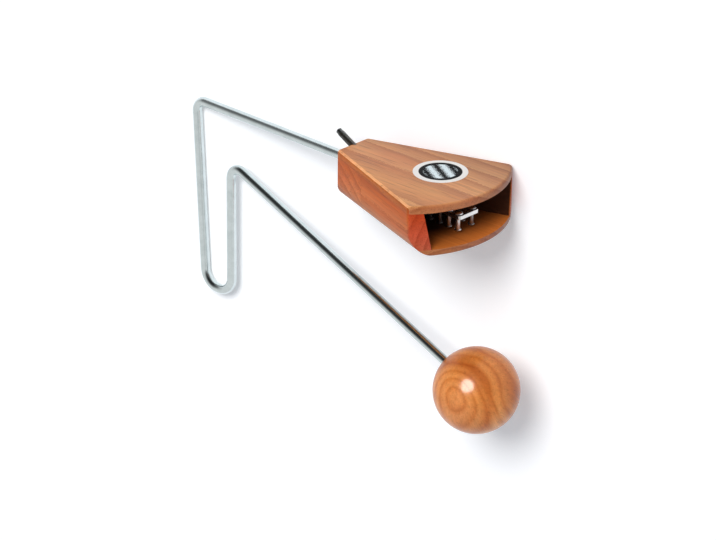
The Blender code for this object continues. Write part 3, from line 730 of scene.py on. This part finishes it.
block = makeObject(blockSlab(wallLow, wallHigh), "narrow_end_block")
for side in (-1.0, 1.0):
    cutAway(block, bellyCutter(side))
ledgeStart = box["start"] + box["block"] + box["ledgeGap"]
halfRoom = 0.5 * box["ledgeRoom"]
bm = bmesh.new()
addBrick(bm, (ledgeStart + halfRoom, 0.0, box["ledgeTop"] + halfRoom), (box["ledgeRoom"],) * 3)
cutAway(block, bm)
rodEntry = aimedAt(Vector((box["start"], 0.0, 0.0)), Vector((1.0, 0.0, 0.0)))
bore(block, rodEntry, box["rodBore"], box["rodBoreDepth"], box["boreSides"])
bore(block, clampPlace, clamp["boreRadius"], clamp["stickOut"], box["boreSides"])
bm = bmesh.new()
for side in (-1.0, 1.0):
    boreMiddle = (plateScrew["along"], side * plateScrew["across"], plateScrew["boreMiddle"])
    addPeg(bm, plateScrew["boreRadius"], plateScrew["boreLength"], plateScrew["boreSides"],
           Matrix.Translation(boreMiddle))
cutAway(block, bm)
setFinish(block, insideFinish, (1.0, 0.0, 0.0), box["insideLimit"])
finishPiece(block, [blockWood, shadedInsideWood], "box_and_rod", "block", "end_block")
print("box built: boards", len(topBoard.data.polygons), "faces, block", len(block.data.polygons))

# Clamp screw: a slotted stud with a rolled thread
bm = bmesh.new()
vert = bm.verts.new((0.0, 0.0, clamp["stickOut"]))
vert = lineTo(bm, vert, (clamp["root"] - clamp["chamfer"], 0.0, clamp["stickOut"]))
vert = lineTo(bm, vert, (clamp["root"], 0.0, clamp["stickOut"] - clamp["chamfer"]))
vert = lineTo(bm, vert, (clamp["root"], 0.0, -clamp["inside"]))
lineTo(bm, vert, (0.0, 0.0, -clamp["inside"]))
turnOnLathe(bm, clamp["turns"])
stud = makeObject(bm, "clamp_stud", clampPlace)
slotSize = (clamp["slotWidth"], clamp["slotLength"], 2.0 * clamp["slotDepth"])
bm = bmesh.new()
addBrick(bm, (0.0, 0.0, clamp["stickOut"]), slotSize)
cutAway(stud, bm, clampPlace)
darkSteel = polishedMetal("darkened screw steel", {
    "toneStops": ((0.30, (0.12, 0.125, 0.12)), (0.70, (0.25, 0.255, 0.25))),
    "roughStops": ((0.25, 0.26), (0.75, 0.44)),
    "cloudScale": 700.0, "lineStretch": (1.0, 1.0, 1.0), "lineScale": 2600.0, "bump": 0.12,
})
finishPiece(stud, [darkSteel], "box_and_rod", "screw", "clamp_screw", sharpAngle=clamp["sharpAngle"])

bm = bmesh.new()
ridgeFoot = clamp["root"] - clamp["ridgeSink"]
ridgeHalf = clamp["ridgeShare"] * clamp["pitch"]
crestHalf = clamp["crestShare"] * ridgeHalf
first = bm.verts.new((ridgeFoot, 0.0, -ridgeHalf))
crestLow = lineTo(bm, first, (0.5 * clamp["diameter"], 0.0, -crestHalf))
crestHigh = lineTo(bm, crestLow, (0.5 * clamp["diameter"], 0.0, crestHalf))
last = lineTo(bm, crestHigh, (ridgeFoot, 0.0, ridgeHalf))
bm.edges.new((last, first))
bmesh.ops.contextual_create(bm, geom=bm.edges[:])
bmesh.ops.translate(bm, verts=bm.verts[:], vec=(0, 0, -clamp["inside"] + clamp["pitch"]))
threadLength = clamp["stickOut"] - clamp["plainTip"] + clamp["inside"] - clamp["pitch"]
threadTurns = int(threadLength / clamp["pitch"])
bmesh.ops.spin(bm, geom=bm.verts[:] + bm.edges[:] + bm.faces[:], cent=(0, 0, 0), axis=(0, 0, 1),
               dvec=(0, 0, clamp["pitch"] / clamp["turns"]), angle=2.0 * math.pi * threadTurns,
               steps=threadTurns * clamp["turns"])
tidyShell(bm)
thread = makeObject(bm, "clamp_thread", clampPlace)
finishPiece(thread, [darkSteel], "box_and_rod", "screw", "clamp_screw", sharpAngle=clamp["sharpAngle"])
print("clamp screw threaded:", threadTurns, "turns")

# Rattle plate and its loose pins
plate = {
    "start": 0.1725, "end": 0.240, "width": 0.018, "low": -0.0077, "high": -0.0051,
    "corner": 0.002, "cornerSegments": 6, "edge": 0.00018, "edgeSegments": 2,
    "holeRadius": 0.0018, "screwHoleRadius": 0.0019, "holeCut": 0.01, "holeSides": 32,
    "firstPin": 0.1898, "lastPin": 0.236, "pinsPerRow": 7, "pinAcross": 0.006,
}
pinSpacing = (plate["lastPin"] - plate["firstPin"]) / (plate["pinsPerRow"] - 1)
pinPlaces = []
for side in (-1.0, 1.0):
    for step in range(plate["pinsPerRow"]):
        along = plate["firstPin"] + pinSpacing * step
        pinPlaces.append(Vector((along, side * plate["pinAcross"], plate["high"])))
plateMiddle = Vector((0.5 * (plate["start"] + plate["end"]), 0.0, 0.5 * (plate["low"] + plate["high"])))
plateSize = Vector((plate["end"] - plate["start"], plate["width"], plate["high"] - plate["low"]))
bm = bmesh.new()
addBrick(bm, plateMiddle, plateSize)
uprights = [edge for edge in bm.edges if abs(edge.verts[0].co.z - edge.verts[1].co.z) > 0.5 * plateSize.z]
easeEdges(bm, uprights, plate["corner"], plate["cornerSegments"])
platePiece = makeObject(bm, "spring_plate")
holes = [(place, plate["holeRadius"]) for place in pinPlaces]
for side in (-1.0, 1.0):
    screwPlace = Vector((plateScrew["along"], side * plateScrew["across"], plate["high"]))
    holes.append((screwPlace, plate["screwHoleRadius"]))
bm = bmesh.new()
for place, radius in holes:
    addPeg(bm, radius, plate["holeCut"], plate["holeSides"], Matrix.Translation(place))
cutAway(platePiece, bm)
easedEdge = platePiece.modifiers.new("eased edges", "BEVEL")
easedEdge.limit_method = "ANGLE"
easedEdge.width = plate["edge"]
easedEdge.segments = plate["edgeSegments"]
springSteel = polishedMetal("bright spring steel", {
    "toneStops": ((0.30, (0.70, 0.70, 0.69)), (0.70, (0.80, 0.80, 0.79))),
    "roughStops": ((0.25, 0.20), (0.75, 0.36)),
    "cloudScale": 220.0, "lineStretch": (0.03, 1.0, 1.0), "lineScale": 3000.0, "bump": 0.08,
})
finishPiece(platePiece, [springSteel], "rattle_plate", "strip", "rattle_plate")

pin = {
    "shank": 0.0015, "head": 0.0030, "headHeight": 0.0014, "seat": 0.00025, "bottom": -0.0111,
    "tail": 0.0022, "tailHeight": 0.0012, "domeSteps": 8, "tailSteps": 8, "turns": 32,
}
shadedPinSteel = polishedMetal("bright pin steel with painted shade", {
    "toneStops": ((0.30, (0.66, 0.66, 0.67)), (0.70, (0.82, 0.82, 0.83))),
    # painted shade: darker away from the mouth and in the right row, where the shade of the box falls
    "drifts": (
        ("X", (0.222, 0.236), ((0.0, 0.30), (0.30, 0.42), (0.70, 1.0))),
        ("Y", (-0.006, 0.006), ((0.30, 1.0), (0.70, 0.42))),
    ),
    "roughStops": ((0.25, 0.20), (0.75, 0.38)),
    "cloudScale": 900.0, "lineStretch": (1.0, 1.0, 0.08), "lineScale": 4200.0, "bump": 0.08,
})


def pinMesh():
    bm = bmesh.new()
    crown = bm.verts.new((0.0, 0.0, pin["head"]))
    rim = sweep(bm, crown, (0, 0, 0), 0.5 * math.pi, pin["domeSteps"], axis=(0, 1, 0))
    bmesh.ops.scale(bm, verts=bm.verts[:], vec=(1, 1, pin["headHeight"] / pin["head"]))
    bmesh.ops.translate(bm, verts=bm.verts[:], vec=(0, 0, pin["seat"]))
    vert = lineTo(bm, rim, (pin["shank"], 0.0, pin["seat"]))
    upset = lineTo(bm, vert, (pin["shank"], 0.0, pin["bottom"] + pin["tailHeight"]))
    before = set(bm.verts)
    vert = sweep(bm, upset, (pin["shank"], 0.0, pin["bottom"] + 0.5 * pin["tailHeight"]), math.pi,
                 pin["tailSteps"], axis=(0, 1, 0))
    # the half circle of the upset tail is drawn out to the tail's radius
    widening = 2.0 * (pin["tail"] - pin["shank"]) / pin["tailHeight"]
    for bulge in set(bm.verts) - before:
        bulge.co.x = pin["shank"] + (bulge.co.x - pin["shank"]) * widening
    lineTo(bm, vert, (0.0, 0.0, pin["bottom"]))
    turnOnLathe(bm, pin["turns"])
    return bm


for number, place in enumerate(pinPlaces, start=1):
    node = "rattle_pin_" + str(number)
    pinPiece = makeObject(pinMesh(), "loose_pin_" + str(number), Matrix.Translation(place))
    finishPiece(pinPiece, [shadedPinSteel], node, "pin", node)
print("plate and", len(pinPlaces), "pins made")

# Round badge on the top board, with plain wavy stripes
badge = {
    "centre": (0.2095, 0.0063), "radius": 0.0172, "thickness": 0.00018, "lift": 0.00002,
    "edge": 0.00008, "edgeSegments": 2, "sides": 96,
    "pale": (0.76, 0.73, 0.69, 1.0), "ink": (0.003, 0.004, 0.005, 1.0),
    "waveScale": 36.0, "waveTurn": math.radians(62), "waveDistortion": 2.2, "waveDetailScale": 90.0,
    "waveStops": ((0.46, (0.003, 0.004, 0.005)), (0.54, (0.66, 0.74, 0.76))),
    # where the stripes end and the pale ring begins, in shares of the radius
    "fieldStops": ((0.62, 0.0), (0.64, 1.0)), "ringStops": ((0.785, 0.0), (0.80, 1.0)),
    "filmScale": 900.0, "roughStops": ((0.2, 0.42), (0.8, 0.52)), "specular": 0.04,
}
badgeCentre = Vector((*badge["centre"], box["top"] + badge["lift"]))
bm = bmesh.new()
bmesh.ops.create_circle(bm, cap_ends=True, segments=badge["sides"], radius=badge["radius"],
                        matrix=Matrix.Translation(badgeCentre))
thicken(bm, badge["thickness"])
roundRim(bm, badgeCentre.z + badge["thickness"], badge["edge"], badge["edgeSegments"])
badgeFinish, tree, shader = startMaterial("printed badge film")
radiusShare = scaled(tree, flatReach(tree, badgeCentre), 1.0 / badge["radius"])
waves = addNode(tree, "ShaderNodeTexWave", wave_type="BANDS", bands_direction="X", wave_profile="SIN")
setInputs(waves, Scale=badge["waveScale"], Distortion=badge["waveDistortion"], Detail=0.0,
          Detail_Scale=badge["waveDetailScale"])
waveTurn = Matrix.Rotation(badge["waveTurn"], 3, "Z")
tree.links.new(drawnAxes(tree, badgeCentre, waveTurn), waves.inputs["Vector"])
stripes = ramp(tree, waves.outputs["Fac"], badge["waveStops"])
inner = mixColour(tree, "MIX", ramp(tree, radiusShare, badge["fieldStops"]), stripes, badge["ink"])
printed = mixColour(tree, "MIX", ramp(tree, radiusShare, badge["ringStops"]), inner, badge["pale"])
tree.links.new(printed, shader.inputs["Base Color"])
film = noise(tree, drawnAxes(tree), badge["filmScale"])
tree.links.new(ramp(tree, film, badge["roughStops"]), shader.inputs["Roughness"])
shader.inputs["Specular IOR Level"].default_value = badge["specular"]
badgePiece = makeObject(bm, "round_badge")
finishPiece(badgePiece, [badgeFinish], "box_and_rod", "board")

# CAD nodes that stay in sight
for node in ("plate_screw_1", "plate_screw_2"):
    nodeMesh = frame["nodes"][node].data
    nodeMesh.materials.clear()
    nodeMesh.materials.append(darkSteel)
print("finishes set on the kept nodes")

# Floor, light and camera
studio = {
    "floorSize": 8.0, "floorColour": (0.94, 0.94, 0.94, 1.0), "floorLift": 0.19,
    "floorRoughness": 0.9, "floorSpecular": 0.1,
    # strength, width and direction of each light, in the camera's own axes; the glint is the ball's
    # highlight and the side light spares the floor
    "key": (2.3, math.radians(27), (-0.33, 0.24, 0.91)),
    "glint": (7.2, math.radians(34), (-0.44, 0.20, 0.87)),
    "side": (0.75, math.radians(60), (-0.68, -0.56, 0.47)),
    "roomLight": (0.345, 0.375, 0.42, 1.0), "wallLight": (0.82, 0.82, 0.82, 1.0),
    # the unlit parts of the room: left above the camera, and round the camera itself
    "darkSides": (
        ((-0.56, 0.52, 0.65), ((0.66, 1.0), (0.80, 0.72), (0.89, 0.28), (0.965, 0.04))),
        ((0.0, 0.0, 1.0), ((0.83, 1.0), (0.90, 0.60), (0.95, 0.12))),
    ),
    "cameraPlace": (1.708942, -1.640494, 0.982761), "lens": 197.95, "sensorWidth": 36.0, "clipEnd": 50.0,
    "cameraRight": (0.721347, 0.692526, 0.008168), "cameraUp": (-0.298269, 0.299995, 0.906112),
}
bm = bmesh.new()
bmesh.ops.create_grid(bm, x_segments=1, y_segments=1, size=0.5 * studio["floorSize"])
floorMesh = bpy.data.meshes.new("floor")
bm.to_mesh(floorMesh)
bm.free()
floor = bpy.data.objects.new("floor", floorMesh)
scene.collection.objects.link(floor)
floorFinish, tree, shader = startMaterial("pale floor")
shader.inputs["Base Color"].default_value = studio["floorColour"]
shader.inputs["Roughness"].default_value = studio["floorRoughness"]
shader.inputs["Specular IOR Level"].default_value = studio["floorSpecular"]
shader.inputs["Emission Color"].default_value = (1.0, 1.0, 1.0, 1.0)
# the lift whitens the floor that is seen, straight or in a mirror, and lights nothing
seen = addNode(tree, "ShaderNodeLightPath")
inSight = seen.outputs["Is Camera Ray"]
for ray in ("Is Glossy Ray", "Is Transmission Ray"):
    either = addNode(tree, "ShaderNodeMath", operation="MAXIMUM")
    tree.links.new(inSight, either.inputs[0])
    tree.links.new(seen.outputs[ray], either.inputs[1])
    inSight = either.outputs["Value"]
tree.links.new(scaled(tree, inSight, studio["floorLift"]), shader.inputs["Emission Strength"])
floorMesh.materials.append(floorFinish)

cameraRight = Vector(studio["cameraRight"])
cameraUp = Vector(studio["cameraUp"])
cameraTurn = Matrix((cameraRight, cameraUp, cameraRight.cross(cameraUp))).transposed()
camera = bpy.data.objects.new("camera", bpy.data.cameras.new("camera"))
camera.data.lens = studio["lens"]
camera.data.sensor_width = studio["sensorWidth"]
camera.data.clip_end = studio["clipEnd"]
camera.matrix_world = drawing @ Matrix.Translation(studio["cameraPlace"]) @ cameraTurn.to_4x4()
scene.collection.objects.link(camera)
scene.camera = camera

lights = {}
for lightName in ("key", "glint", "side"):
    strength, angle, direction = studio[lightName]
    aim = drawingTurn @ cameraTurn @ Vector(direction)
    light = bpy.data.objects.new(lightName, bpy.data.lights.new(lightName, "SUN"))
    light.data.energy = strength
    light.data.angle = angle
    light.matrix_world = aimedAt(aim, aim)
    scene.collection.objects.link(light)
    lights[lightName] = light
lights["key"].visible_glossy = False
lights["glint"].visible_diffuse = False
lights["side"].visible_glossy = False
notFloor = bpy.data.collections.new("all but the floor")
notFloor.objects.link(floor)
notFloor.collection_objects[0].light_linking.link_state = "EXCLUDE"
lights["side"].light_linking.receiver_collection = notFloor
ballOnly = bpy.data.collections.new("ball only")
ballOnly.objects.link(ballPiece)
lights["glint"].light_linking.receiver_collection = ballOnly

world = bpy.data.worlds.new("studio")
scene.world = world
world.use_nodes = True
tree = world.node_tree
direction = addNode(tree, "ShaderNodeTexCoord")
sky = studio["wallLight"]
for darkSide, stops in studio["darkSides"]:
    facing = addNode(tree, "ShaderNodeVectorMath", operation="DOT_PRODUCT")
    facing.inputs[1].default_value = drawingTurn @ cameraTurn @ Vector(darkSide).normalized()
    tree.links.new(direction.outputs["Generated"], facing.inputs[0])
    shade = ramp(tree, scaled(tree, facing.outputs["Value"], 0.5, 0.5), stops)
    sky = mixColour(tree, "MULTIPLY", 1.0, shade, sky)
# the walls show in polished metal and varnish; for the rest the room is even
mirrored = addNode(tree, "ShaderNodeLightPath").outputs["Is Glossy Ray"]
surroundings = mixColour(tree, "MIX", mirrored, studio["roomLight"], sky)
tree.links.new(surroundings, tree.nodes["Background"].inputs["Color"])
scene.view_settings.view_transform = "Standard"
print("floor, light and camera set")
